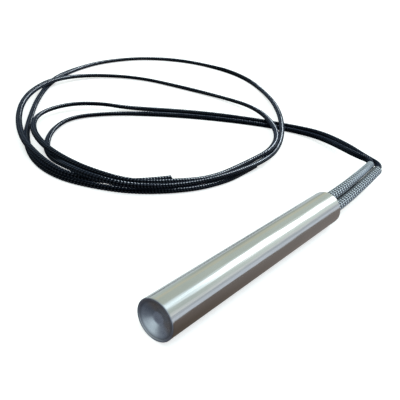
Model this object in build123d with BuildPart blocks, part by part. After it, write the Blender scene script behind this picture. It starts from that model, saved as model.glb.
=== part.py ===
"""Cartridge heater with two braided leads, lying on its side on a flat surface.

The origin is on the surface under the middle of the sheath. +X runs along the sheath from its closed end to its
lead end, +Y points to the side where the leads lie in a loose coil, and +Z points up.
"""
import os
from math import cos, radians, sin, tan

from build123d import *

os.makedirs("parts", exist_ok=True)

# Sheath: a ground tube, closed by a dished disc at one end
sheath_length = 120.0
sheath_diameter = 16.0
sheath_wall = 1.0
closed_edge_radius = 0.3
lead_edge_radius = 0.6
dish_depth = 1.8
dish_radius = 7.6
dish_flat_radius = 2.3
end_disc_thickness = 4.0
end_disc_chamfer = 0.5

# Heating core: short ceramic cylinders in a row, with two long holes for the pins
core_count = 5
core_length = 18.0
core_diameter = 9.2
core_edge_chamfer = 0.3
core_hole_diameter = 2.0
spacer_thickness = 3.0
spacer_diameter = 13.4
slot_width = 0.6
slot_depth = 1.0

# Resistance ribbon, wound on the cores
ribbon_width = 0.9
ribbon_thickness = 0.35
ribbon_clearance = 0.02
winding_turns = 17.5

# Pins, crimped barrels and conductors, on two axes that lie in a plane tilted about the sheath's axis
pin_offset = 2.9
pin_plane_tilt = 30.0
pin_diameter = 1.8
crimp_diameter = 2.8
crimp_length = 8.0
crimp_gap = 1.0
crimp_groove_depth = 0.2
crimp_groove_width = 1.2
conductor_diameter = 1.2

# Lead end: ceramic bushing with blind bores for the sleeves, closed by a cement layer
bushing_front_gap = 2.0
bushing_recess = 2.0
bushing_diameter = 13.8
bushing_edge_chamfer = 0.4
conductor_hole_diameter = 1.4
sleeve_bore_depth = 8.0
seal_thickness = 1.4

# Sleeves and leads
sleeve_diameter = 5.4
sleeve_bore = 3.9
sleeve_length = 72.0
sleeve_tip_radius = 0.5
lead_width = 3.5
lead_thickness = 2.3
lead_flat = 1.8
corner_share = 0.45

# Positions along X, from the closed end to the lead end
axis_height = sheath_diameter / 2
inner_radius = sheath_diameter / 2 - sheath_wall
closed_x = -sheath_length / 2
lead_end_x = sheath_length / 2
dish_slope = dish_depth / (dish_radius - dish_flat_radius)
disc_edge_x = closed_x + dish_slope * (dish_radius - inner_radius)
disc_back_x = closed_x + end_disc_thickness
cores_x = disc_back_x + spacer_thickness
cores_end_x = cores_x + core_count * core_length
crimp_x = cores_end_x + crimp_gap
crimp_end_x = crimp_x + crimp_length
bushing_end_x = lead_end_x - bushing_recess
bore_floor_x = bushing_end_x - sleeve_bore_depth
bushing_x = crimp_end_x + bushing_front_gap

# The near axis is on the coil's side, the far axis opposite it
pin_y = pin_offset * cos(radians(pin_plane_tilt))
pin_z = pin_offset * sin(radians(pin_plane_tilt))
near_direction = Vector(0, pin_y, pin_z) / pin_offset
far_direction = -near_direction
axes = {"near": near_direction, "far": far_direction}

# Route of each lead: corner points of its centre line, straight out of its bore, then down to the surface and
# round in a loose coil of two turns. Each passes over the other, or over itself, in a low hump.
near_route = [
    (bore_floor_x, pin_y, axis_height + pin_z), (76, pin_y, axis_height + pin_z), (102, 3.2, 11.2),
    (118, 4.6, 12.4), (126, 9, 12), (132, 20, 10), (142, 34, 7.4), (149, 54, 2.8), (144, 76, 1.3), (127, 97, 1.3),
    (103, 120, 1.3), (79, 138, 1.3), (60, 149, 1.3), (36, 156, 1.3), (14, 148, 1.3), (-1, 134, 1.3),
    (-7, 120, 1.3), (-9, 106, 3.6), (-7, 91, 4.2), (2, 73, 4.0), (26, 61, 3.8), (52, 53, 3.8), (88, 52, 4.2),
    (118, 62, 4.4), (146, 78, 4.2), (172, 101, 3.2), (196, 124, 1.6), (209, 147, 1.3), (211, 172, 1.3),
    (198, 202, 1.3), (168, 223, 1.3), (131, 231, 1.3), (97, 225, 1.3), (66, 212, 1.3), (38, 190, 1.3),
    (17, 169, 1.3), (-2, 147, 1.3), (-15.5, 124, 1.3), (-17, 104, 1.3), (-9, 86, 1.3), (5, 70, 1.3), (28, 57, 1.3),
    (54, 52, 1.3), (80, 54, 1.3),
]
far_route = [
    (bore_floor_x, -pin_y, axis_height - pin_z), (76, -pin_y, axis_height - pin_z), (102, -2.0, 8.4),
    (120, -1.2, 9.8), (131, 1.5, 10), (138, 14, 9), (149, 35, 6.6), (155, 52, 3.8), (155, 70, 1.6), (140, 95, 1.3),
    (117, 119, 1.3), (93, 138, 1.3), (75, 149, 2.2), (61, 160, 3.8), (42, 167, 4.2), (20, 166, 4.2),
    (4, 150, 4.2), (-4, 129, 4.2), (-5, 111, 4.6), (-3, 95, 4.3), (5, 77, 4.0), (23, 67, 2.8), (46, 57, 1.3),
    (70, 56, 3.2), (96, 59, 4.4), (122, 70, 4.4), (143, 87, 4.4), (153, 106, 3.8), (153, 130, 1.8),
    (142, 160, 1.3), (127, 190, 1.3), (98, 210, 1.8), (66, 210, 4.2), (41, 199, 4.2), (22, 183, 4.2),
    (7, 165, 4.2), (-5, 148, 4.2), (-12, 131, 4.8), (-13, 112, 2.2), (-11, 98, 1.3), (8, 81, 1.3), (29, 71, 1.3),
]


def across(x, side=near_direction):
    """A plane across the sheath's axis at x, with its own X along the given direction."""
    return Plane(origin=(x, 0, axis_height), x_dir=side, z_dir=(1, 0, 0))


def along(x, direction):
    """A plane across one of the two pin axes at x."""
    return Plane(origin=(x, 0, axis_height) + direction * pin_offset, x_dir=direction, z_dir=(1, 0, 0))


def keep(part, name):
    """Label a finished piece and write it."""
    part.label = name
    export_step(part, f"parts/{name}.step")


# Sheath, with the edge of the dish cut into its closed end
side_plane = Plane(origin=(0, 0, axis_height), x_dir=(1, 0, 0), z_dir=(0, -1, 0))
outer_radius = sheath_diameter / 2
with BuildPart() as sheath:
    with BuildSketch(side_plane):
        with BuildLine():
            Polyline(
                (closed_x, dish_radius),
                (closed_x, outer_radius),
                (lead_end_x, outer_radius),
                (lead_end_x, inner_radius),
                (disc_edge_x, inner_radius),
                close=True,
            )
        make_face()
    revolve(axis=Axis((0, 0, axis_height), (1, 0, 0)))
    rims = sheath.edges().filter_by(GeomType.CIRCLE).filter_by(lambda e: e.radius > dish_radius).sort_by(Axis.X)
    fillet(rims[0], closed_edge_radius)
    rims = sheath.edges().filter_by(GeomType.CIRCLE).filter_by(lambda e: e.radius > dish_radius).sort_by(Axis.X)
    fillet(rims[-1], lead_edge_radius)
keep(sheath.part, "sheath")

# Dished disc in the closed end: a cone down to a small flat
with BuildPart() as end_disc:
    with BuildSketch(side_plane):
        with BuildLine():
            Polyline(
                (closed_x + dish_depth, 0),
                (closed_x + dish_depth, dish_flat_radius),
                (disc_edge_x, inner_radius),
                (disc_back_x - end_disc_chamfer, inner_radius),
                (disc_back_x, inner_radius - end_disc_chamfer),
                (disc_back_x, 0),
                close=True,
            )
        make_face()
    revolve(axis=Axis((0, 0, axis_height), (1, 0, 0)))
keep(end_disc.part, "end_disc")

# Insulating disc between the closed end and the first core
with BuildPart() as end_spacer:
    with BuildSketch(across(disc_back_x)):
        Circle(spacer_diameter / 2)
    extrude(amount=spacer_thickness)
keep(end_spacer.part, "end_spacer")

# Cores; the first and the last have a slot where the ribbon turns in to its pin
for index in range(core_count):
    core_x = cores_x + index * core_length
    with BuildPart() as core:
        with BuildSketch(across(core_x)):
            Circle(core_diameter / 2)
            with Locations((pin_offset, 0), (-pin_offset, 0)):
                Circle(core_hole_diameter / 2, mode=Mode.SUBTRACT)
        extrude(amount=core_length)
        rims = core.edges().filter_by(GeomType.CIRCLE).filter_by(lambda e: e.radius > core_hole_diameter)
        chamfer(rims, core_edge_chamfer)
        if index == 0:
            with BuildSketch(across(core_x, far_direction)):
                with Locations((pin_offset, 0)):
                    Rectangle(core_diameter / 2, slot_width, align=(Align.MIN, Align.CENTER))
            extrude(amount=slot_depth, mode=Mode.SUBTRACT)
        if index == core_count - 1:
            with BuildSketch(across(core_x + core_length - slot_depth)):
                with Locations((pin_offset, 0)):
                    Rectangle(core_diameter / 2, slot_width, align=(Align.MIN, Align.CENTER))
            extrude(amount=slot_depth, mode=Mode.SUBTRACT)
    keep(core.part, f"core_{index + 1}")

# Resistance ribbon: a helix on the cores, from the far pin at the closed end to the near pin at the lead end
winding_radius = (core_diameter + ribbon_thickness) / 2 + ribbon_clearance
winding_x = cores_x + ribbon_width / 2
winding_length = core_count * core_length - ribbon_width
pin_reach = pin_offset + pin_diameter / 2
with BuildLine() as turns:
    Helix(pitch=winding_length / winding_turns, height=winding_length, radius=winding_radius)
helix = across(winding_x, far_direction).location * turns.line
with BuildPart() as winding:
    with BuildSketch(Plane(origin=helix @ 0, x_dir=far_direction, z_dir=helix % 0)):
        Rectangle(ribbon_thickness, ribbon_width)
    sweep(path=helix, is_frenet=True)
    for tail_x, direction in ((winding_x, far_direction), (winding_x + winding_length, near_direction)):
        pin_side = Vector(tail_x, 0, axis_height) + direction * pin_reach
        with BuildSketch(Plane(origin=pin_side, x_dir=(1, 0, 0), z_dir=direction)):
            Rectangle(ribbon_width, ribbon_thickness)
        extrude(amount=winding_radius + ribbon_thickness / 2 - pin_reach)
keep(winding.part, "winding")

# Pins: one goes through every core to the closed end, the other only through the last core
pin_end_x = crimp_x + crimp_length / 2
pin_starts = {"pin_long": (cores_x, far_direction), "pin_short": (cores_end_x - core_length, near_direction)}
for name, (pin_x, direction) in pin_starts.items():
    with BuildPart() as pin:
        with BuildSketch(along(pin_x, direction)):
            Circle(pin_diameter / 2)
        extrude(amount=pin_end_x - pin_x)
    keep(pin.part, name)

# Compacted powder between the winding and the sheath
fill_bore_radius = winding_radius + ribbon_thickness / 2 + ribbon_clearance
with BuildPart() as powder_fill:
    with BuildSketch(across(cores_x)):
        Circle(inner_radius)
        Circle(fill_bore_radius, mode=Mode.SUBTRACT)
    extrude(amount=bushing_x - cores_x)
keep(powder_fill.part, "powder_fill")

# Crimped barrels and the conductors that they join to the pins
for side, direction in axes.items():
    with BuildPart() as crimp:
        with BuildSketch(along(crimp_x, direction)):
            Circle(crimp_diameter / 2)
        extrude(amount=crimp_length)
        with BuildSketch(along(crimp_x, direction)):
            Circle(pin_diameter / 2)
        extrude(amount=pin_end_x - crimp_x, mode=Mode.SUBTRACT)
        with BuildSketch(along(pin_end_x, direction)):
            Circle(conductor_diameter / 2)
        extrude(amount=crimp_end_x - pin_end_x, mode=Mode.SUBTRACT)
        for groove_middle_x in ((crimp_x + pin_end_x) / 2, (pin_end_x + crimp_end_x) / 2):
            groove_x = groove_middle_x - crimp_groove_width / 2
            with BuildSketch(along(groove_x, direction)):
                Circle(crimp_diameter / 2)
                Circle(crimp_diameter / 2 - crimp_groove_depth, mode=Mode.SUBTRACT)
            extrude(amount=crimp_groove_width, mode=Mode.SUBTRACT)
    keep(crimp.part, f"crimp_{side}")

    with BuildPart() as conductor:
        with BuildSketch(along(pin_end_x, direction)):
            Circle(conductor_diameter / 2)
        extrude(amount=bore_floor_x - pin_end_x)
    keep(conductor.part, f"conductor_{side}")

# Ceramic bushing with a blind bore for each sleeve and a hole for each conductor
with BuildPart() as end_bushing:
    with BuildSketch(across(bushing_x)):
        Circle(bushing_diameter / 2)
        with Locations((pin_offset, 0), (-pin_offset, 0)):
            Circle(conductor_hole_diameter / 2, mode=Mode.SUBTRACT)
    extrude(amount=bushing_end_x - bushing_x)
    rims = end_bushing.edges().filter_by(GeomType.CIRCLE).filter_by(lambda e: e.radius > sleeve_diameter)
    chamfer(rims, bushing_edge_chamfer)
    with BuildSketch(across(bore_floor_x)):
        with Locations((pin_offset, 0), (-pin_offset, 0)):
            Circle(sleeve_diameter / 2)
    extrude(amount=sleeve_bore_depth, mode=Mode.SUBTRACT)
keep(end_bushing.part, "end_bushing")

# Cement layer over the bushing, round the sleeves
with BuildPart() as end_seal:
    with BuildSketch(across(bushing_end_x)):
        Circle(inner_radius)
        with Locations((pin_offset, 0), (-pin_offset, 0)):
            Circle(sleeve_diameter / 2, mode=Mode.SUBTRACT)
    extrude(amount=seal_thickness)
keep(end_seal.part, "end_seal")


def corner_radii(points):
    """As large an arc at each corner as its two runs allow."""
    found = []
    for before, corner, after in zip(points, points[1:], points[2:]):
        half_turn = radians((corner - before).get_angle(after - corner)) / 2
        shorter = min((corner - before).length, (after - corner).length)
        found.append(corner_share * shorter / tan(half_turn))
    return found


# Leads of a flattened section with six flats, and the sleeves over their first stretch
lead_corners = [
    (lead_width / 2, 0), (lead_flat / 2, lead_thickness / 2), (-lead_flat / 2, lead_thickness / 2),
    (-lead_width / 2, 0), (-lead_flat / 2, -lead_thickness / 2), (lead_flat / 2, -lead_thickness / 2),
]
for side, route in (("near", near_route), ("far", far_route)):
    points = [Vector(*point) for point in route]
    radii = corner_radii(points)
    with BuildLine():
        centre_line = FilletPolyline(*points, radius=radii)
        covered = centre_line.trim(0, sleeve_length / centre_line.length)
    start = Plane(origin=points[0], x_dir=(0, 1, 0), z_dir=(1, 0, 0))

    with BuildPart() as lead:
        with BuildSketch(start):
            with BuildLine():
                Polyline(*lead_corners, close=True)
            make_face()
        sweep(path=centre_line)
    keep(lead.part, f"lead_{side}")

    with BuildPart() as sleeve:
        with BuildSketch(start):
            Circle(sleeve_diameter / 2)
            Circle(sleeve_bore / 2, mode=Mode.SUBTRACT)
        sweep(path=covered)
        tip = sleeve.faces().sort_by(Axis.X)[-1]
        fillet(tip.outer_wire().edges(), sleeve_tip_radius)
    keep(sleeve.part, f"sleeve_{side}")

    section = (lead_width + lead_flat) * lead_thickness / 2
    print(side, "length", round(centre_line.length, 1), "volume ratio",
          round(lead.part.volume / (section * centre_line.length), 4))
    print(side, "radii", [round(radius, 1) for radius in radii])
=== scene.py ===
"""Tubular cartridge heater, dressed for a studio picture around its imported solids.

Blender works in metres. Routes and turned profiles are in millimetres, and MM brings them to metres.
"""

import math
import random

import bpy
import numpy as np
from mathutils import Matrix, Vector


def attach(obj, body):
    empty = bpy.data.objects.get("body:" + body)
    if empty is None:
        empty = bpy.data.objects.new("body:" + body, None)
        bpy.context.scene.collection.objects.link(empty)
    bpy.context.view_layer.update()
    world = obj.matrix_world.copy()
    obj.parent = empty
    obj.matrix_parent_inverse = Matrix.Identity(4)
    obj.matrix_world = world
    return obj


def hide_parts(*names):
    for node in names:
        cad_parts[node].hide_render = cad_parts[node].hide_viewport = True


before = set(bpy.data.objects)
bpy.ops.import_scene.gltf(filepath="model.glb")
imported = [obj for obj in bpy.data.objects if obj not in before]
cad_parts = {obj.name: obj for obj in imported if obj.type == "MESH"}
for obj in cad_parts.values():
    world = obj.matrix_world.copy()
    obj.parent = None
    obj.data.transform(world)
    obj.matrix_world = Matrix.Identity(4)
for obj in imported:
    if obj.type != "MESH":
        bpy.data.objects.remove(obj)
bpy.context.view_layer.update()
MM = 0.001

# Camera: it stands where the photograph was taken from.

camera_place = Vector((-172.2, -84.4, 133.5)) * MM
camera_forward = Vector((0.7242, 0.4874, -0.4877))
camera_right = Vector((0.6226, -0.7662, 0.1588))
camera_sensor = 36.0
camera_focal_pixels = 565.0
picture_side = 400.0
clip_near = 10.0 * MM
clip_far = 100.0


def place_camera():
    forward = camera_forward.normalized()
    right = (camera_right - forward * camera_right.dot(forward)).normalized()
    up = right.cross(forward)
    lens = bpy.data.cameras.new("studio_camera")
    lens.sensor_width = camera_sensor
    lens.sensor_fit = "HORIZONTAL"
    lens.lens = camera_sensor * camera_focal_pixels / picture_side
    lens.clip_start = clip_near
    lens.clip_end = clip_far
    camera = bpy.data.objects.new("studio_camera", lens)
    turn = Matrix((right, up, -forward)).transposed().to_4x4()
    camera.matrix_world = Matrix.Translation(camera_place) @ turn
    bpy.context.collection.objects.link(camera)
    bpy.context.scene.camera = camera


place_camera()

# Routes: control points of the two leads in millimetres, from the bushing's bore to the cut end.

axis_height = 8.0
pin_y = 2.511
pin_z = 1.45
mid_sleeve_y = 2.3
mid_sleeve_z = 1.33
bore_floor_x = 50.0

near_route = [
    (bore_floor_x, pin_y, axis_height + pin_z), (76, mid_sleeve_y, axis_height + mid_sleeve_z),
    (102, 3.4, 10.8), (114, 4.2, 11.3), (127, 5.2, 11.6), (131, 18, 9.8), (137, 28, 8), (146.5, 41, 4.8),
    (151.5, 56, 2.4), (144.3, 76.3, 1.3), (127.4, 97.5, 1.3), (103.4, 120.6, 1.3), (79.3, 138.5, 1.3),
    (60, 149, 1.3), (36, 156, 1.3), (15, 147.5, 1.3), (-0.5, 133, 1.3), (-7, 120, 1.3), (-9.6, 105.3, 4.2),
    (-8.8, 88.8, 5.6), (1.3, 72.2, 4.5), (26, 61, 2.4), (52, 53, 3.6), (88.5, 51, 3.9), (118.5, 60.4, 2.9),
    (147, 77.3, 4.4), (176, 101, 3.2), (196, 124, 1.6), (209, 147, 1.3), (211, 172, 1.3), (198, 202, 1.3),
    (168, 223, 1.3), (129, 229, 1.3), (96, 223.5, 1.3), (66, 212, 1.3), (38, 190, 1.3), (17, 169, 1.3),
    (-2.5, 147.5, 1.3), (-15.5, 124, 1.3), (-17, 104, 1.3), (-8.5, 86.7, 1.3), (5, 70.4, 1.3),
    (28, 57, 1.3), (50, 52.3, 1.3), (67, 52.6, 1.3), (80.1, 53.6, 1.3),
]
far_route = [
    (bore_floor_x, -pin_y, axis_height - pin_z), (76, -mid_sleeve_y, axis_height - mid_sleeve_z),
    (102, -1.2, 8.7), (115, -0.4, 9.7), (129, 0.7, 10.3), (133.5, 13, 9.8), (144.5, 29.5, 7.8),
    (156.6, 52.4, 4), (155.2, 70.2, 1.6), (139.2, 94.2, 1.3), (116.5, 118.5, 1.3), (93, 138, 1.3),
    (75, 149, 2.2), (61, 160, 3.8), (42.5, 167.5, 4.2), (19, 164.5, 4.2), (3, 150, 4.2), (-5, 129, 4.2),
    (-6.3, 110, 4.6), (-3.4, 94.6, 4.3), (4.5, 76.7, 4.0), (23, 67, 2.8), (47.5, 58, 1.3), (79, 56.6, 3),
    (98, 54.6, 6.3), (122.4, 65.4, 5.9), (144, 86.5, 4.4), (153, 106, 3.8), (153, 130, 1.8),
    (142, 160, 1.3), (127, 190, 1.3), (96.5, 208, 1.8), (63.5, 206.5, 4.2), (39.5, 196.5, 4.2),
    (21.5, 183, 4.2), (6, 165.5, 4.2), (-5.5, 147.5, 4.2), (-13, 130.5, 4.8), (-16.2, 108.8, 4.1),
    (-11.8, 95.8, 2.9), (7, 79.6, 1.3), (29, 71, 1.3),
]

# How far each lead's flat side leans out of the level, in degrees, at lengths along it in millimetres.
near_roll = [
    (0, 65), (105, 65), (130, 42), (165, 22), (200, 34), (245, 30), (270, -24), (300, -36), (345, -20),
    (395, -20), (420, 0), (535, 10), (564, 30), (600, 10), (620, 10), (645, 38), (672, 45), (690, 18),
    (714, 18), (750, -15), (780, -3), (804, 5), (840, 40), (868, -16), (900, -28), (960, -20), (1015, -20),
    (1045, 0),
]
far_roll = [
    (0, 60), (110, 50), (130, 40), (165, 20), (205, 32), (245, 28), (282, -21), (306, -25), (330, -35),
    (355, -25), (412, -25), (440, 0), (560, 15), (588, 25), (604, 8), (625, -4), (650, 14), (680, -18),
    (710, -10), (740, 5), (760, 26), (785, 28), (830, 0), (870, -20), (912, -20), (935, 0),
]

# The leads' lengths in metres, and how their centre lines are drawn and read.
near_length = 1.103
far_length = 0.949
spline_order = 3
spline_steps = 24
least_step = 1e-7
tangent_reach = 1.2 * MM
floor_gap = 0.02 * MM
oval_samples = 2880

# Lead braid. A column of chevrons has two slanting legs, and the mesh divides each leg and yarn into steps.

lead_width = 3.5 * MM
lead_height = 2.4 * MM
lead_columns = 4
lead_pitch = 1.6 * MM
lead_slant = 0.55
lead_relief = 0.18 * MM
lead_leg_steps = 3
lead_yarn_steps = 5
lead_filaments = 5
braid_wall = 0.35 * MM
braid_inner_depths = np.array([0.0, 1.0, 3.0]) * MM
braid_margin = 0.6 * MM

# Form of the yarns, which the mesh and the materials share. Heights run from 0 in a gap to 1 on a crown, and
# the section's own edge lies at section_height.

crown_power = 0.8
side_height = 0.25
side_power = 0.7
section_height = 0.75

# Cut end. Each core ring has its depth below the cut, in millimetres, and its share of the core's width.

cut_margin = 1.3 * MM
core_steps = 24
core_gap = 0.02 * MM
core_rings = [(3.2, 1.0), (1.6, 1.0), (0.12, 1.0), (0.02, 0.9)]
wire_count = 7
wire_sides = 10
wire_radius = 0.17 * MM
wire_ring = 0.36 * MM
wire_depth = 1.5 * MM
wire_splay = 1.25
wire_reach = (0.15, 0.4)
fibre_count = 16
fibre_sides = 5
fibre_radius = 0.035 * MM
fibre_depth = 0.4 * MM
fibre_rim = 0.46
fibre_clearance = 0.15 * MM
fibre_scatter = (-0.4, 0.4)
fibre_spread = (-0.1, 0.35)
fibre_stray = (-0.3, 0.3)
fibre_reach = (0.3, 1.1)
fibre_bend = (0.4, 0.3)

# Sleeves. At its tip each is drawn in to a share of its width and of its weave's relief.

sleeve_length = 72.0 * MM
sleeve_width = 5.4 * MM
sleeve_bore = 3.51 * MM
sleeve_columns = 8
sleeve_pitch = 2.33 * MM
sleeve_slant = 0.5
sleeve_relief = 0.22 * MM
sleeve_leg_steps = 4
sleeve_yarn_steps = 6
sleeve_filaments = 6
sleeve_draw_start = 0.35
sleeve_draw_share = 0.55
sleeve_tip_radius = 0.5 * MM
sleeve_tip_turns = np.linspace(0.1, 0.9, 7) * math.pi
sleeve_tip_fade = 2.0 * MM
sleeve_tip_relief = 0.35
sleeve_inner_rings = 25
sleeve_tip_share = {"near": 0.82, "far": 0.96}
sleeve_tip_weave = {"near": 0.25, "far": 1.0}

# Where the two sleeves lie against each other, as a share of the way round each; each sleeve's painted shade
# is centred there.
sleeve_contact = {"near": 0.736, "far": 0.264}


def lay_line(name, route):
    """The smooth centre line of one lead: a fine row of points on a NURBS spline over its route."""
    curve = bpy.data.curves.new(name + "_route", "CURVE")
    curve.dimensions = "3D"
    curve.resolution_u = spline_steps
    spline = curve.splines.new("NURBS")
    spline.points.add(len(route) - 1)
    for point, (x, y, z) in zip(spline.points, route):
        point.co = (x * MM, y * MM, z * MM, 1.0)
    spline.order_u = spline_order
    spline.use_endpoint_u = True
    guide = bpy.data.objects.new(name + "_route", curve)
    bpy.context.collection.objects.link(guide)
    bpy.context.view_layer.update()
    traced = bpy.data.meshes.new_from_object(guide)
    places = np.array([vertex.co for vertex in traced.vertices])
    bpy.data.meshes.remove(traced)
    bpy.data.objects.remove(guide)
    bpy.data.curves.remove(curve)
    return places


def step_lengths(places):
    return np.linalg.norm(np.diff(places, axis=0), axis=1)


def run_along(places):
    """The length along a row of points at each of them."""
    return np.concatenate(([0.0], np.cumsum(step_lengths(places))))


class CentreLine:
    """A row of points that can be asked for its place and its cross directions at any length."""

    def __init__(self, places, roll):
        self.roll = np.array(roll, float)
        self.places = places[np.concatenate(([True], step_lengths(places) > least_step))]
        self.reached = run_along(self.places)
        self.length = self.reached[-1]

    def at(self, lengths):
        return np.stack([np.interp(lengths, self.reached, self.places[:, k]) for k in range(3)], axis=1)

    def stations(self, lengths, margin=0.0):
        """Places and tangents at these lengths, and the section's two directions, which lean by the roll.

        Within margin of an end the directions are those at the margin.
        """
        lengths = np.asarray(lengths, float)
        held = np.clip(lengths, margin, self.length - margin)
        tangents = self.at(held + tangent_reach) - self.at(held - tangent_reach)
        tangents /= np.linalg.norm(tangents, axis=1, keepdims=True)
        sides = np.cross(tangents, (0.0, 0.0, 1.0))
        sides /= np.linalg.norm(sides, axis=1, keepdims=True)
        tops = np.cross(sides, tangents)
        lean = np.radians(np.interp(held, self.roll[:, 0] * MM, self.roll[:, 1]))[:, None]
        wide = np.cos(lean) * sides + np.sin(lean) * tops
        return self.at(lengths), tangents, wide, np.cross(wide, tangents)


def oval_steps(width, height, count):
    """Points that divide an oval's edge evenly, and the outward direction at each."""
    fine = np.linspace(0.0, 2.0 * math.pi, oval_samples + 1)
    run = run_along(0.5 * np.stack([width * np.cos(fine), height * np.sin(fine)], axis=1))
    angles = np.interp(np.arange(count) / count * run[-1], run, fine)
    outward = np.stack([np.cos(angles) / width, np.sin(angles) / height], axis=1)
    outward /= np.linalg.norm(outward, axis=1, keepdims=True)
    edge = 0.5 * np.stack([width * np.cos(angles), height * np.sin(angles)], axis=1)
    return edge, outward


def braid_section(width, height, columns, leg_steps):
    """An oval's edge, its outward directions, and the braid's columns counted round it."""
    count = 2 * columns * leg_steps
    edge, outward = oval_steps(width, height, count)
    return edge, outward, (np.arange(count) + 0.5) / (2 * leg_steps)


def weave_height(around, along, slant):
    """Height of a chevron braid's surface. around counts columns and along counts yarns."""
    leg = around * 2.0
    across = leg % 1.0
    climb = np.where(np.floor(leg) % 2.0 < 0.5, across, 1.0 - across)
    crown = np.abs(np.sin(math.pi * (along + slant * climb)))
    side = np.sin(math.pi * across) ** side_power
    return crown ** crown_power * (side_height + (1.0 - side_height) * side)


def new_piece(name, vertices, faces):
    """A mesh object of these vertices and faces, in the scene."""
    mesh = bpy.data.meshes.new(name)
    mesh.from_pydata(vertices, [], faces)
    mesh.update()
    piece = bpy.data.objects.new(name, mesh)
    bpy.context.collection.objects.link(piece)
    return piece


def tube_mesh(name, rings, marks, closed_loop=False):
    """A piece of rings joined by quads, with both ends capped unless its rings close in a loop.

    Its map, which the braids' patterns use, gives the share of the way round and each ring's own mark.
    """
    rings = np.array(rings)
    total, count = rings.shape[:2]
    spans = total if closed_loop else total - 1
    ring = np.repeat(np.arange(spans), count)
    step = np.tile(np.arange(count), spans)
    next_ring = (ring + 1) % total
    next_step = (step + 1) % count
    quads = np.stack([ring * count + step, next_ring * count + step,
                      next_ring * count + next_step, ring * count + next_step], axis=1)
    lower = marks[ring]
    upper = marks[next_ring]
    left = step / count
    right = (step + 1) / count
    layout = np.stack([left, lower, left, upper, right, upper, right, lower], axis=1)
    faces = quads.tolist()
    corners = layout.reshape(-1, 2).tolist()
    if not closed_loop:
        turn = list(range(count))
        faces.append(turn)
        corners += [(k / count, marks[0]) for k in turn]
        faces.append([(total - 1) * count + k for k in reversed(turn)])
        corners += [(k / count, marks[-1]) for k in reversed(turn)]
    piece = new_piece(name, rings.reshape(-1, 3).tolist(), faces)
    layer = piece.data.uv_layers.new(name="UVMap")
    layer.data.foreach_set("uv", np.array(corners, dtype=np.float32).ravel())
    piece.data.polygons.foreach_set("use_smooth", [True] * len(faces))
    piece.data.update()
    return piece


def lay_rings(line, marks, edges, margin=0.0):
    """Rings round a line, one for each mark and edge. A ring that dips into the floor is lifted onto it."""
    places, _, sides, tops = line.stations(marks, margin)
    rings = []
    for place, side, top, edge in zip(places, sides, tops, edges):
        ring = place + edge[:, :1] * side + edge[:, 1:] * top
        ring[:, 2] += max(0.0, floor_gap - ring[:, 2].min())
        rings.append(ring)
    return rings


def braided_lead(name, line):
    """The lead's braid: an oval rod whose surface rises and falls with its yarns, hollow at the cut end."""
    edge, outward, around = braid_section(lead_width, lead_height, lead_columns, lead_leg_steps)
    marks = np.arange(0.0, line.length, lead_pitch / lead_yarn_steps)
    marks = np.append(marks[:-1], line.length)
    edges = []
    for mark in marks:
        height = weave_height(around, mark / lead_pitch, lead_slant)
        relief = (height - section_height) * lead_relief
        edges.append(edge + outward * relief[:, None])
    edges += [edge - outward * braid_wall] * len(braid_inner_depths)
    marks = np.concatenate((marks, line.length - braid_inner_depths))
    return tube_mesh(name, lay_rings(line, marks, edges, braid_margin), marks)


def sleeve_draw(marks):
    """How far the sleeve has drawn in at these lengths: 0 where it leaves the heater, 1 at its tip."""
    share = np.clip((marks / sleeve_length - sleeve_draw_start) / sleeve_draw_share, 0.0, 1.0)
    return share * share * (3.0 - 2.0 * share)


def braided_sleeve(name, line, tip_share, tip_weave):
    """A braided glass sleeve round the first stretch of a lead, with its end rolled over to the bore."""
    edge, outward, around = braid_section(sleeve_width, sleeve_width, sleeve_columns, sleeve_leg_steps)
    wall_end = sleeve_length - sleeve_tip_radius
    outer_marks = np.arange(0.0, wall_end, sleeve_pitch / sleeve_yarn_steps)
    edges = []
    for mark, draw in zip(outer_marks, sleeve_draw(outer_marks)):
        height = weave_height(around, mark / sleeve_pitch, sleeve_slant)
        fade = min(1.0, (wall_end - mark) / sleeve_tip_fade + sleeve_tip_relief)
        fade *= 1.0 + (tip_weave - 1.0) * draw
        width = 1.0 + (tip_share - 1.0) * draw
        relief = (height - section_height) * sleeve_relief * fade
        edges.append(edge * width + outward * relief[:, None])
    wall = 0.5 * tip_share * (sleeve_width - sleeve_bore)
    insets = 0.5 * wall * (1.0 - np.cos(sleeve_tip_turns))
    tip_marks = wall_end + sleeve_tip_radius * np.sin(sleeve_tip_turns)
    edges += [edge * tip_share - outward * inset for inset in insets]
    inner_marks = np.linspace(wall_end, 0.0, sleeve_inner_rings)
    widths = 1.0 + (tip_share - 1.0) * sleeve_draw(inner_marks)
    edges += [edge * width - outward * wall for width in widths]
    marks = np.concatenate((outer_marks, tip_marks, inner_marks))
    return tube_mesh(name, lay_rings(line, marks, edges), marks, closed_loop=True)


def ring_quads(first, count):
    """Quads between the ring of vertices that starts at first and the next ring."""
    return [(first + j, first + (j + 1) % count, first + count + (j + 1) % count, first + count + j)
            for j in range(count)]


def rods_mesh(name, rods, radius, sides):
    """Thin rods with closed ends in one piece. Each is a list of the points along it."""
    # A direction that none of the rods follows.
    upright = (0.3, 0.2, 0.93)
    turns = np.arange(sides) / sides * 2.0 * math.pi
    vertices = []
    faces = []
    for rod in rods:
        rod = np.array(rod)
        first = len(vertices)
        last = first + (len(rod) - 1) * sides
        for k, point in enumerate(rod):
            along = rod[min(k + 1, len(rod) - 1)] - rod[max(k - 1, 0)]
            along /= np.linalg.norm(along)
            side = np.cross(along, upright)
            side /= np.linalg.norm(side)
            other = np.cross(along, side)
            vertices += [tuple(point + radius * (math.cos(t) * side + math.sin(t) * other)) for t in turns]
        for low in range(first, last, sides):
            faces += ring_quads(low, sides)
        faces.append(tuple(first + j for j in reversed(range(sides))))
        faces.append(tuple(last + j for j in range(sides)))
    return new_piece(name, vertices, faces)


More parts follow.
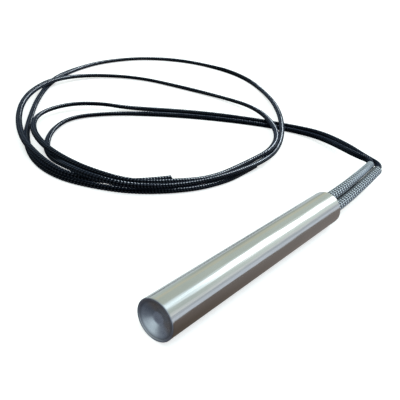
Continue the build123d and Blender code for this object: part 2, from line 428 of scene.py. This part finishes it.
def cut_end(side_name, line):
    """What shows at a lead's cut end: its inner insulation, seven wires and loose fibres of the braid."""
    chance = random.Random("cut " + side_name)
    edge, outward = oval_steps(lead_width, lead_height, core_steps)
    inner = edge - outward * (braid_wall + core_gap)
    marks = line.length - np.array([depth * MM for depth, _ in core_rings])
    rings = lay_rings(line, marks, [inner * share for _, share in core_rings], cut_margin)
    core = tube_mesh("cut_core_" + side_name, rings, marks)
    end, tangent, wide, top = (part[0] for part in line.stations([line.length], cut_margin))
    wires = []
    for k in range(wire_count):
        turn = 2.0 * math.pi * k / (wire_count - 1)
        reach = wire_ring if k < wire_count - 1 else 0.0
        offset = reach * (math.cos(turn) * wide + math.sin(turn) * top)
        tip = end + offset * wire_splay + tangent * chance.uniform(*wire_reach) * MM
        wires.append([end + offset - tangent * wire_depth, end + offset, tip])
    strands = rods_mesh("cut_wires_" + side_name, wires, wire_radius, wire_sides)
    fibres = []
    for k in range(fibre_count):
        turn = 2.0 * math.pi * (k + chance.uniform(*fibre_scatter)) / fibre_count
        rim = fibre_rim * (lead_width * math.cos(turn) * wide + lead_height * math.sin(turn) * top)
        drift = chance.uniform(*fibre_spread) * rim + chance.uniform(*fibre_stray) * MM * wide
        reach = chance.uniform(*fibre_reach) * MM
        start = end + rim
        if (start + drift)[2] <= fibre_clearance:
            drift = 0.0 * drift
        bend = start + tangent * fibre_bend[0] * reach + fibre_bend[1] * drift
        fibres.append([start - tangent * fibre_depth, bend, start + tangent * reach + drift])
    loose = rods_mesh("cut_fibres_" + side_name, fibres, fibre_radius, fibre_sides)
    for piece, slot in ((core, "lead"), (strands, "nickel"), (loose, "lead")):
        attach(piece, "root")
    return core, strands, loose


def make_leads():
    """Both sides' pieces: the lead's braid, its sleeve, and what shows at its cut end."""
    made = {}
    for side, route, roll, length, sign in (
            ("near", near_route, near_roll, near_length, 1),
            ("far", far_route, far_roll, far_length, -1)):
        line = CentreLine(lay_line("lead_" + side, route), roll)
        lead = braided_lead("braid_" + side, line)
        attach(lead, "root")
        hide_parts("lead_" + side)
        ends = cut_end(side, line)
        sleeve = braided_sleeve("glass_sleeve_" + side, line, sleeve_tip_share[side],
                                sleeve_tip_weave[side])
        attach(sleeve, "root")
        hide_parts("sleeve_" + side)
        made[side] = (lead, sleeve, ends)
    return made


leads = make_leads()

# Sheath and dished closed end: turned profiles about the heater's axis, in millimetres.

sheath_half = 60.0
sheath_radius = 8.0
sheath_wall_half = 59.0
sheath_wall_rings = 60
bore_radius = 7.0
bore_chamfer = 0.15
closed_edge_radius = 0.3
lead_edge_radius = 0.6
dish_edge = 7.6
dish_flat = 2.3
dish_depth = 1.8
dish_flat_x = -sheath_half + dish_depth
weld_groove = 0.04
weld_radii = (7.3, 7.5)
rim_radius = 7.66
flat_radii = (0.4, 1.4)
flat_blend = 0.12
cone_radii = np.linspace(2.9, 6.8, 9)
disc_back_x = -56.0
disc_back_radius = 1.0
disc_chamfer = 0.5
disc_gap = 0.001
turn_steps = 160
edge_steps = 6


def dish_x(radius):
    """Where the dished face lies along the axis at this radius, outside its flat."""
    return -sheath_half + dish_depth * (dish_edge - radius) / (dish_edge - dish_flat)


def rounded(edge_x, radius, start, stop):
    """A rounded outer edge of the sheath at edge_x. Angles run from the +X axis towards larger radius."""
    centre_x = edge_x - math.copysign(radius, edge_x)
    centre_r = sheath_radius - radius
    turns = [math.radians(start + (stop - start) * k / edge_steps) for k in range(edge_steps + 1)]
    return [(centre_x + radius * math.cos(t), centre_r + radius * math.sin(t)) for t in turns]


def turned(name, profile, closed_loop):
    """A profile of (x, radius) points, turned about the heater's axis."""
    profile = np.array(profile) * MM
    turns = np.arange(turn_steps) / turn_steps * 2.0 * math.pi
    around = np.stack([np.zeros(turn_steps), -np.sin(turns), np.cos(turns)], axis=1)
    rings = [np.array([x, 0.0, axis_height * MM]) + around * radius for x, radius in profile]
    return tube_mesh(name, rings, run_along(profile), closed_loop)


def make_sheath():
    wall_places = np.linspace(-sheath_wall_half, sheath_wall_half, sheath_wall_rings)
    profile = [(dish_x(bore_radius) + weld_groove, bore_radius)]
    profile += [(dish_x(radius), radius) for radius in (bore_radius + weld_groove, *weld_radii)]
    profile += [(-sheath_half, rim_radius)]
    profile += rounded(-sheath_half, closed_edge_radius, 180, 90)
    profile += [(x, sheath_radius) for x in wall_places]
    profile += rounded(sheath_half, lead_edge_radius, 90, 0)
    profile += [(sheath_half, bore_radius + bore_chamfer), (sheath_half - bore_chamfer, bore_radius)]
    profile += [(0.0, bore_radius)]
    return turned("sheath_tube", profile[::-1], True)


def make_disc():
    profile = [(dish_flat_x, radius) for radius in (*flat_radii, dish_flat - flat_blend)]
    cone = (dish_flat + flat_blend, *cone_radii, bore_radius - weld_groove)
    profile += [(dish_x(radius), radius) for radius in cone]
    profile += [(dish_x(bore_radius) + weld_groove, bore_radius - disc_gap)]
    profile += [(disc_back_x - disc_chamfer, bore_radius - disc_gap)]
    profile += [(disc_back_x, bore_radius - disc_chamfer), (disc_back_x, disc_back_radius)]
    return turned("dished_end", profile[::-1], False)


# Shader expressions: arithmetic on a signal adds Math nodes, and any other node comes from Finish.node.
# A Mix node's sockets for colours share their names with its other modes, so they go by number.

mix_share = 0
mix_low = 6
mix_high = 7
mix_result = 2


class Signal:
    """A socket whose value varies over a surface, with the arithmetic that the finishes use."""

    def __init__(self, finish, socket):
        self.finish = finish
        self.socket = socket

    def _math(self, operation, *values):
        settings = {"operation": operation}
        return self.finish.node("ShaderNodeMath", settings, dict(enumerate(values)))["Value"]

    def __add__(self, other):
        return self._math("ADD", self, other)

    def __sub__(self, other):
        return self._math("SUBTRACT", self, other)

    def __rsub__(self, other):
        return self._math("SUBTRACT", other, self)

    def __mul__(self, other):
        return self._math("MULTIPLY", self, other)

    def __truediv__(self, other):
        return self._math("DIVIDE", self, other)

    def __pow__(self, other):
        return self._math("POWER", self, other)

    __radd__ = __add__
    __rmul__ = __mul__

    def sine(self):
        return self._math("SINE", self)

    def size(self):
        return self._math("ABSOLUTE", self)

    def modulo(self, other):
        return self._math("FLOORED_MODULO", self, other)

    def below(self, other):
        return self._math("LESS_THAN", self, other)

    def angle_from(self, other):
        """The angle in degrees, from the direction of other towards this one."""
        return self._math("ARCTAN2", self, other) * (180.0 / math.pi)

    def step(self, low, high):
        """0 below low, 1 above high and smooth between them."""
        settings = {"interpolation_type": "SMOOTHSTEP"}
        values = {"Value": self, "From Min": low, "From Max": high}
        return self.finish.node("ShaderNodeMapRange", settings, values)["Result"]

    def band(self, rise, fall):
        """1 between rise and fall and 0 outside them. Each is the (low, high) over which it changes."""
        return self.step(*rise) * (1.0 - self.step(*fall))


class Outputs:
    """The output sockets of one node, by name or number."""

    def __init__(self, finish, node):
        self.finish = finish
        self.node = node

    def __getitem__(self, name):
        return Signal(self.finish, self.node.outputs[name])


class Finish:
    """The nodes of one material or of the studio's surroundings."""

    def __init__(self, tree):
        self.tree = tree

    def node(self, kind, settings=None, inputs=None):
        """A node with its settings, and with values or signals for its input sockets."""
        made = self.tree.nodes.new(kind)
        for name, value in (settings or {}).items():
            setattr(made, name, value)
        for name, value in (inputs or {}).items():
            if isinstance(value, Signal):
                self.tree.links.new(value.socket, made.inputs[name])
            else:
                made.inputs[name].default_value = value
        return Outputs(self, made)

    def blend(self, share, low, high):
        """A colour between low and high, by share."""
        low, high = (tint if isinstance(tint, Signal) else (*tint, 1.0) for tint in (low, high))
        values = {mix_share: share, mix_low: low, mix_high: high}
        return self.node("ShaderNodeMix", {"data_type": "RGBA"}, values)[mix_result]

    def place(self):
        """The point on the surface, in metres, in the object's own frame."""
        return self.node("ShaderNodeTexCoord")["Object"]

    def layout(self):
        """The mesh's own map: the share of the way round in X, and the length along the piece in Y."""
        return self.node("ShaderNodeUVMap", {"uv_map": "UVMap"})["UV"]

    def parts(self, vector):
        made = self.node("ShaderNodeSeparateXYZ", None, {"Vector": vector})
        return made["X"], made["Y"], made["Z"]

    def stretched(self, vector, grain):
        """The vector times grain, which is one number or one for each axis."""
        factors = grain if isinstance(grain, tuple) else (grain, grain, grain)
        settings = {"operation": "MULTIPLY"}
        return self.node("ShaderNodeVectorMath", settings, {0: vector, 1: factors})["Vector"]

    def noise(self, vector, grain, detail=3.0, roughness=0.5):
        vector = self.stretched(vector, grain)
        values = {"Vector": vector, "Scale": 1.0, "Detail": detail, "Roughness": roughness}
        return self.node("ShaderNodeTexNoise", None, values)["Fac"]

    def cells(self, vector, grain):
        values = {"Vector": self.stretched(vector, grain), "Scale": 1.0}
        return self.node("ShaderNodeTexVoronoi", None, values)["Distance"]

    def bump(self, height, strength, distance, **beneath):
        """A normal bumped by height, on top of the Normal that beneath may give."""
        values = {"Height": height, "Strength": strength, "Distance": distance, **beneath}
        return self.node("ShaderNodeBump", None, values)["Normal"]


def new_finish(name, **constants):
    """A material with its Principled shader; constants are set on the shader's own sockets."""
    material = bpy.data.materials.new(name)
    material.use_nodes = True
    shader = material.node_tree.nodes["Principled BSDF"]
    for socket, value in constants.items():
        shader.inputs[socket.replace("_", " ")].default_value = value
    return material, Finish(material.node_tree), shader


def feed(finish, shader, **signals):
    """Links varying values into the shader."""
    for socket, signal in signals.items():
        finish.tree.links.new(signal.socket, shader.inputs[socket.replace("_", " ")])


def dress(piece, material):
    piece.data.materials.clear()
    piece.data.materials.append(material)


# Finishes of the leads and the sleeves.


def braid_pattern(around, along, columns, pitch, slant, filaments):
    """The weave's height, as in weave_height, and the lines of the filaments in its yarns."""
    leg = around * (2.0 * columns)
    across = leg.modulo(1.0)
    even = leg.modulo(2.0).below(1.0)
    climb = across * even + (1.0 - across) * (1.0 - even)
    run = along / pitch + climb * slant
    crown = (run * math.pi).sine().size()
    side = (across * math.pi).sine() ** side_power
    height = crown ** crown_power * (side_height + (1.0 - side_height) * side)
    threads = (run * (2.0 * math.pi * filaments)).sine()
    return height, threads


def lead_finish():
    """Black varnished braid: the varnish shines on the yarns' crowns, and the gaps stay matt.

    The first stretch out of the sleeve carries little varnish.
    """
    gap_black = (0.0004, 0.0006, 0.0012)
    yarn_black = (0.006, 0.009, 0.016)
    worn_black = (0.01, 0.013, 0.02)
    varnish_starts = 170.0 * MM
    varnish_full = 260.0 * MM
    material, finish, shader = new_finish(
        "black_braid", Roughness=0.55, IOR=1.5, Specular_IOR_Level=0.0, Coat_Roughness=0.16, Coat_IOR=1.35,
        Sheen_Weight=0.1, Sheen_Roughness=0.45, Sheen_Tint=(0.55, 0.7, 1.0, 1.0))
    around, along, _ = finish.parts(finish.layout())
    height, threads = braid_pattern(around, along, lead_columns, lead_pitch, lead_slant, lead_filaments)
    wear = finish.noise(finish.place(), 300.0)
    crown = height.step(0.65, 0.95)
    facing = finish.node("ShaderNodeLayerWeight", None, {"Blend": 0.5})["Facing"]
    tone = finish.blend(crown, gap_black, yarn_black)
    tone = finish.blend(wear.step(0.55, 0.75) * 0.3, tone, worn_black)
    dull = 1.0 - along.step(varnish_starts, varnish_full)
    varnish = crown * (0.95 - 0.5 * wear.step(0.4, 0.8))
    varnish = varnish * (1.0 - facing.step(0.72, 0.95)) * (1.0 - 0.8 * dull)
    bumps = finish.bump(height + threads * 0.04, 0.95, 0.24 * MM)
    feed(finish, shader, Base_Color=tone, Coat_Weight=varnish, Normal=bumps)
    return material


def sleeve_finish(name, tip_weave, contact):
    """Silver-grey glass braid: pale yarns and dark gaps, drawn smooth at the tip where tip_weave is small.

    It is darkened with painted shade where the two sleeves touch, which contact gives as a share of the way
    round.
    """
    gap_grey = (0.006, 0.011, 0.028)
    yarn_white = (0.8, 0.9, 1.0)
    smooth_dark = (0.15, 0.175, 0.21)
    smooth_pale = (0.5, 0.57, 0.66)
    worn_grey = (0.2, 0.23, 0.27)
    painted_shade_grey = (0.02, 0.022, 0.03)
    material, finish, shader = new_finish(name, Roughness=0.45, IOR=1.5)
    layout = finish.layout()
    around, along, _ = finish.parts(layout)
    height, threads = braid_pattern(around, along, sleeve_columns, sleeve_pitch, sleeve_slant,
                                    sleeve_filaments)
    drawn = (along / sleeve_length).step(0.45, 0.85) * (1.0 - tip_weave)
    wear = finish.noise(finish.place(), 400.0)
    lines = finish.noise(layout, (14.0, 30.0, 1.0), 2.0)
    woven = finish.blend(height.step(0.42, 0.9), gap_grey, yarn_white)
    smooth = finish.blend(lines.step(0.35, 0.62), smooth_dark, smooth_pale)
    tone = finish.blend(drawn, woven, smooth)
    tone = finish.blend(wear.step(0.4, 0.8) * 0.25, tone, worn_grey)
    # Painted shade: darker near the line where this sleeve touches the other one.
    off = ((around - contact + 0.5).modulo(1.0) - 0.5).size()
    tone = finish.blend((1.0 - off.step(0.03, 0.22)) * 0.85, tone, painted_shade_grey)
    rough = 0.55 - 0.15 * height
    bumps = finish.bump((height + threads * 0.06) * (1.0 - drawn), 0.9, 0.2 * MM)
    feed(finish, shader, Base_Color=tone, Roughness=rough, Normal=bumps)
    return material


# Finishes of the sheath, its end disc and the inner pieces.


def steel_finish():
    """Ground stainless tube: grinding lines round it, faint clouding, and a slight waviness along it."""
    pale_steel = (0.66, 0.66, 0.645)
    clouded_steel = (0.62, 0.625, 0.615)
    scored_steel = (0.57, 0.57, 0.56)
    rim_grey = (0.36, 0.38, 0.43)
    rim_from = (-sheath_half + 0.08) * MM
    rim_to = (-sheath_half + 0.4) * MM
    material, finish, shader = new_finish("ground_steel", Metallic=1.0, Roughness=0.13)
    place = finish.place()
    lines = finish.noise(place, (9000.0, 60.0, 60.0), roughness=0.6)
    cloud = finish.noise(place, (60.0, 160.0, 160.0))
    wave = finish.noise(place, (14.0, 330.0, 330.0), roughness=0.6)
    rim = 1.0 - finish.parts(place)[0].step(rim_from, rim_to)
    tone = finish.blend(cloud.step(0.3, 0.7), clouded_steel, pale_steel)
    tone = finish.blend(lines.step(0.35, 0.75) * 0.25, tone, scored_steel)
    tone = finish.blend(rim, tone, rim_grey)
    rough = 0.10 + 0.05 * lines + 0.03 * cloud + rim * 0.25
    bumps = finish.bump(lines, 0.08, 0.01 * MM, Normal=finish.bump(wave, 1.0, 0.12 * MM))
    feed(finish, shader, Base_Color=tone, Roughness=rough, Normal=bumps)
    return material


def disc_finish():
    """Turned steel face of the closed end: rings of the cutting tool, duller than the ground tube."""
    ring_pitch = 0.18 * MM
    dull_steel = (0.52, 0.56, 0.6)
    pale_steel = (0.6, 0.64, 0.68)
    flat_steel = (0.85, 0.89, 0.95)
    outer_band_grey = (0.17, 0.18, 0.22)
    material, finish, shader = new_finish("turned_steel", Metallic=1.0, Roughness=0.25)
    place = finish.place()
    _, y, z = finish.parts(place)
    radius = (y * y + (z - axis_height * MM) ** 2.0) ** 0.5
    rings = (radius * (2.0 * math.pi / ring_pitch)).sine()
    cloud = finish.noise(place, 500.0)
    flat = 1.0 - radius.step((dish_flat - 0.1) * MM, (dish_flat + 0.1) * MM)
    # Darker and rougher towards the rim, from 5.6 mm out.
    outer_band = radius.step(5.6 * MM, 7.4 * MM)
    tone = finish.blend(cloud.step(0.3, 0.7), dull_steel, pale_steel)
    tone = finish.blend(flat * 0.6, tone, flat_steel)
    tone = finish.blend(outer_band * 0.85, tone, outer_band_grey)
    rough = 0.24 + 0.06 * cloud + 0.02 * rings + 0.1 * outer_band
    feed(finish, shader, Base_Color=tone, Roughness=rough, Normal=finish.bump(rings, 0.06, 0.02 * MM))
    return material


def earthy_finish(name, pale, dark, grain, pits):
    """Fired or pressed mineral: fine grain, soft stains and small pits."""
    pit_dark = tuple(0.35 * channel for channel in dark)
    material, finish, shader = new_finish(name, Roughness=0.75, IOR=1.5)
    place = finish.place()
    fine = finish.noise(place, grain, 4.0, 0.65)
    stain = finish.noise(place, 350.0)
    pit = (1.0 - finish.cells(place, 2600.0).step(0.12, 0.26)) * pits
    tone = finish.blend(stain.step(0.35, 0.7), pale, dark)
    tone = finish.blend(fine.step(0.4, 0.75) * 0.35, tone, dark)
    tone = finish.blend(pit, tone, pit_dark)
    rough = 0.68 + 0.2 * fine
    bumps = finish.bump(fine - pit, 0.5, 0.05 * MM)
    feed(finish, shader, Base_Color=tone, Roughness=rough, Normal=bumps)
    return material


def drawn_finish(name, bright, dull, grain):
    """Drawn metal: fine lines along the drawing direction, with a thin patchy oxide."""
    material, finish, shader = new_finish(name, Metallic=1.0, Roughness=0.3)
    place = finish.place()
    lines = finish.noise(place, grain, roughness=0.6)
    oxide = finish.noise(place, 700.0)
    tone = finish.blend(oxide.step(0.4, 0.7), bright, dull)
    tone = finish.blend(lines.step(0.4, 0.7) * 0.3, tone, dull)
    rough = 0.24 + 0.14 * oxide + 0.08 * lines
    feed(finish, shader, Base_Color=tone, Roughness=rough, Normal=finish.bump(lines, 0.2, 0.02 * MM))
    return material


def dress_leads():
    """Finishes of the braids and the sleeves."""
    black_braid = lead_finish()
    for side, (lead, sleeve, _) in leads.items():
        dress(lead, black_braid)
        dress(sleeve, sleeve_finish("glass_braid_" + side, sleeve_tip_weave[side], sleeve_contact[side]))


def dress_inside():
    """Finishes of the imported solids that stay, and of what shows at the cut ends."""
    ceramic = earthy_finish("pressed_ceramic", (0.76, 0.72, 0.63), (0.62, 0.57, 0.47), 9000.0, 0.5)
    powder = earthy_finish("packed_powder", (0.82, 0.8, 0.74), (0.68, 0.66, 0.6), 16000.0, 0.2)
    cement = earthy_finish("cast_cement", (0.42, 0.4, 0.36), (0.27, 0.25, 0.22), 6000.0, 0.9)
    bushing = earthy_finish("fired_bushing", (0.66, 0.63, 0.56), (0.4, 0.37, 0.32), 9000.0, 0.6)
    insulation = earthy_finish("inner_insulation", (0.56, 0.55, 0.52), (0.4, 0.4, 0.38), 12000.0, 0.1)
    ribbon = drawn_finish("resistance_ribbon", (0.42, 0.39, 0.36), (0.22, 0.19, 0.17),
                          (900.0, 3000.0, 3000.0))
    nickel = drawn_finish("drawn_nickel", (0.66, 0.63, 0.57), (0.45, 0.42, 0.37), (300.0, 9000.0, 9000.0))
    for finish, nodes in (
            (ceramic, ["end_spacer"] + ["core_" + str(k) for k in range(1, 6)]),
            (nickel, [kind + side for kind in ("crimp_", "conductor_") for side in ("near", "far")]),
            (nickel, ["pin_long", "pin_short"]),
            (ribbon, ["winding"]),
            (powder, ["powder_fill"]),
            (bushing, ["end_bushing"]),
            (cement, ["end_seal"])):
        for node in nodes:
            dress(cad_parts[node], finish)
    for _, _, (core, strands, loose) in leads.values():
        dress(core, insulation)
        dress(strands, nickel)
        dress(loose, insulation)


dress_leads()
dress_inside()
sheath = make_sheath()
dress(sheath, steel_finish())
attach(sheath, "root")
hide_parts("sheath")
disc = make_disc()
dress(disc, disc_finish())
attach(disc, "root")
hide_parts("end_disc")

# Studio: a white floor, and surroundings in bands that lie along the heater as cards and a window would.

white = (1.0, 1.0, 1.0, 1.0)
coil_middle = Vector((90.0, 100.0, 0.0)) * MM
window_direction = (0.73, 0.3, 0.6)
window_distance = 1.2
window_side = 0.6
window_power = 35.0
window_colour = (0.78, 0.9, 1.0)
floor_half = 40.0
floor_grey = (0.9, 0.9, 0.9, 1.0)
floor_glow = 0.55
dome_radius = 6.0
dome_sink = 0.01
dome_rings = 12
dome_turns = 48


def make_window(pieces):
    """A soft low window beyond the coil, whose light is linked to these pieces alone."""
    lamp = bpy.data.lights.new("low_window", "AREA")
    lamp.shape = "RECTANGLE"
    lamp.size = window_side
    lamp.size_y = window_side
    lamp.energy = window_power
    lamp.color = window_colour
    holder = bpy.data.objects.new("low_window", lamp)
    bpy.context.collection.objects.link(holder)
    direction = Vector(window_direction).normalized()
    turn = direction.to_track_quat("Z", "Y").to_matrix().to_4x4()
    holder.matrix_world = Matrix.Translation(coil_middle + direction * window_distance) @ turn
    lit = bpy.data.collections.new("low_window_lights")
    for piece in pieces:
        lit.objects.link(piece)
    holder.light_linking.receiver_collection = lit


def make_floor():
    """A white floor with a little glow of its own, which the part neither reflects nor is lit by."""
    corners = [(x * floor_half, y * floor_half, 0.0) for x, y in ((-1, -1), (1, -1), (1, 1), (-1, 1))]
    floor = new_piece("studio_floor", corners, [(0, 1, 2, 3)])
    material, _, _ = new_finish("white_floor", Roughness=0.9, Base_Color=floor_grey, Emission_Color=white,
                                Emission_Strength=floor_glow, Specular_IOR_Level=0.0)
    dress(floor, material)
    for ray in ("glossy", "diffuse", "shadow"):
        setattr(floor, "visible_" + ray, False)


def make_backdrop():
    """A white dome that the camera alone sees, so that the surroundings light the part out of sight."""
    vertices = []
    for k in range(dome_rings + 1):
        rise = 0.5 * math.pi * k / dome_rings
        flat = dome_radius * math.cos(rise)
        height = dome_radius * math.sin(rise) - dome_sink
        for j in range(dome_turns):
            turn = 2.0 * math.pi * j / dome_turns
            vertices.append((flat * math.cos(turn), flat * math.sin(turn), height))
    faces = [quad for k in range(dome_rings) for quad in ring_quads(k * dome_turns, dome_turns)]
    backdrop = new_piece("studio_backdrop", vertices, faces)
    material, _, _ = new_finish("white_backdrop", Roughness=1.0, Base_Color=(0.0, 0.0, 0.0, 1.0),
                                Specular_IOR_Level=0.0, Emission_Color=white, Emission_Strength=1.0)
    dress(backdrop, material)
    for ray in ("diffuse", "glossy", "transmission", "volume_scatter", "shadow"):
        setattr(backdrop, "visible_" + ray, False)


def room_light(finish, x, angle):
    """The light from above the bench, by its angle about the heater's axis.

    Where a colour also changes along the heater, the second is the one towards its lead end.
    """
    room_green = (0.54, 0.61, 0.55)
    far_green = (0.61, 0.69, 0.64)
    mint = finish.blend(x.step(0.62, 0.84), (0.6, 0.68, 0.66), (0.92, 1.03, 1.0))
    card = finish.blend(x.step(0.65, 0.8), (1.2, 1.42, 1.5), (3.6, 3.8, 3.9))
    edge = finish.blend(x.step(0.64, 0.7), (0.6, 0.68, 0.63), (0.46, 0.5, 0.45))
    light = finish.blend(x.step(0.6, 0.7), room_green, far_green)
    # Each band has its two limits and the softness of its edges, in degrees, and its colour.
    for low, high, soft, colour in (
            (79.0, 100.0, 3.0, (0.62, 0.71, 0.74)),
            (62.0, 79.0, 3.0, edge),
            (46.0, 62.0, 4.0, (0.66, 0.68, 0.56)),
            (-61.0, -50.0, 4.0, (0.85, 0.9, 0.92)),
            (-72.0, -61.0, 3.0, (0.52, 0.57, 0.64)),
            (-90.0, -72.0, 3.0, (0.7, 0.77, 0.87))):
        share = angle.band((low - soft, low + soft), (high - soft, high + soft))
        light = finish.blend(share, light, colour)
    light = finish.blend(angle.band((-55.0, -42.0), (4.0, 18.0)), light, mint)
    return finish.blend(angle.band((-34.0, -18.0), (-8.0, 8.0)), light, card)


def bench_light(finish, x, y, z):
    """The light from below the level: a brown bench, pale beyond the coil and dark behind the camera."""
    bench = finish.blend(x.step(0.45, 0.95), (0.13, 0.10, 0.085), (0.27, 0.245, 0.235))
    under = (1.0 - z.step(-0.72, -0.15)) * (1.0 - x.step(0.6, 0.85))
    bench = finish.blend(under * 0.7, bench, (0.095, 0.075, 0.058))
    beyond = y.step(0.1, 0.4) * x.step(0.3, 0.55)
    bench = finish.blend(beyond, bench, (0.66, 0.74, 0.76))
    behind = finish.blend(z.step(-0.85, -0.35), (0.085, 0.095, 0.12), (0.18, 0.2, 0.245))
    patch = (1.0 - x.step(-0.95, -0.72)) * z.step(-0.5, -0.15)
    behind = finish.blend(patch, behind, (0.86, 0.98, 1.03))
    return finish.blend(1.0 - x.step(-0.5, -0.2), bench, behind)


def make_surroundings():
    """The light of the room by direction. Angles are about the heater's axis, from overhead towards +Y."""
    world = bpy.data.worlds.new("studio_room")
    bpy.context.scene.world = world
    world.use_nodes = True
    finish = Finish(world.node_tree)
    x, y, z = finish.parts(finish.node("ShaderNodeTexCoord")["Generated"])
    above = room_light(finish, x, y.angle_from(z))
    light = finish.blend(z.step(-0.01, 0.01), bench_light(finish, x, y, z), above)
    background = world.node_tree.nodes["Background"]
    finish.tree.links.new(light.socket, background.inputs["Color"])
    background.inputs["Strength"].default_value = 1.0


make_window([lead for lead, _, _ in leads.values()])
make_floor()
make_backdrop()
make_surroundings()
bpy.context.scene.view_settings.view_transform = "Standard"
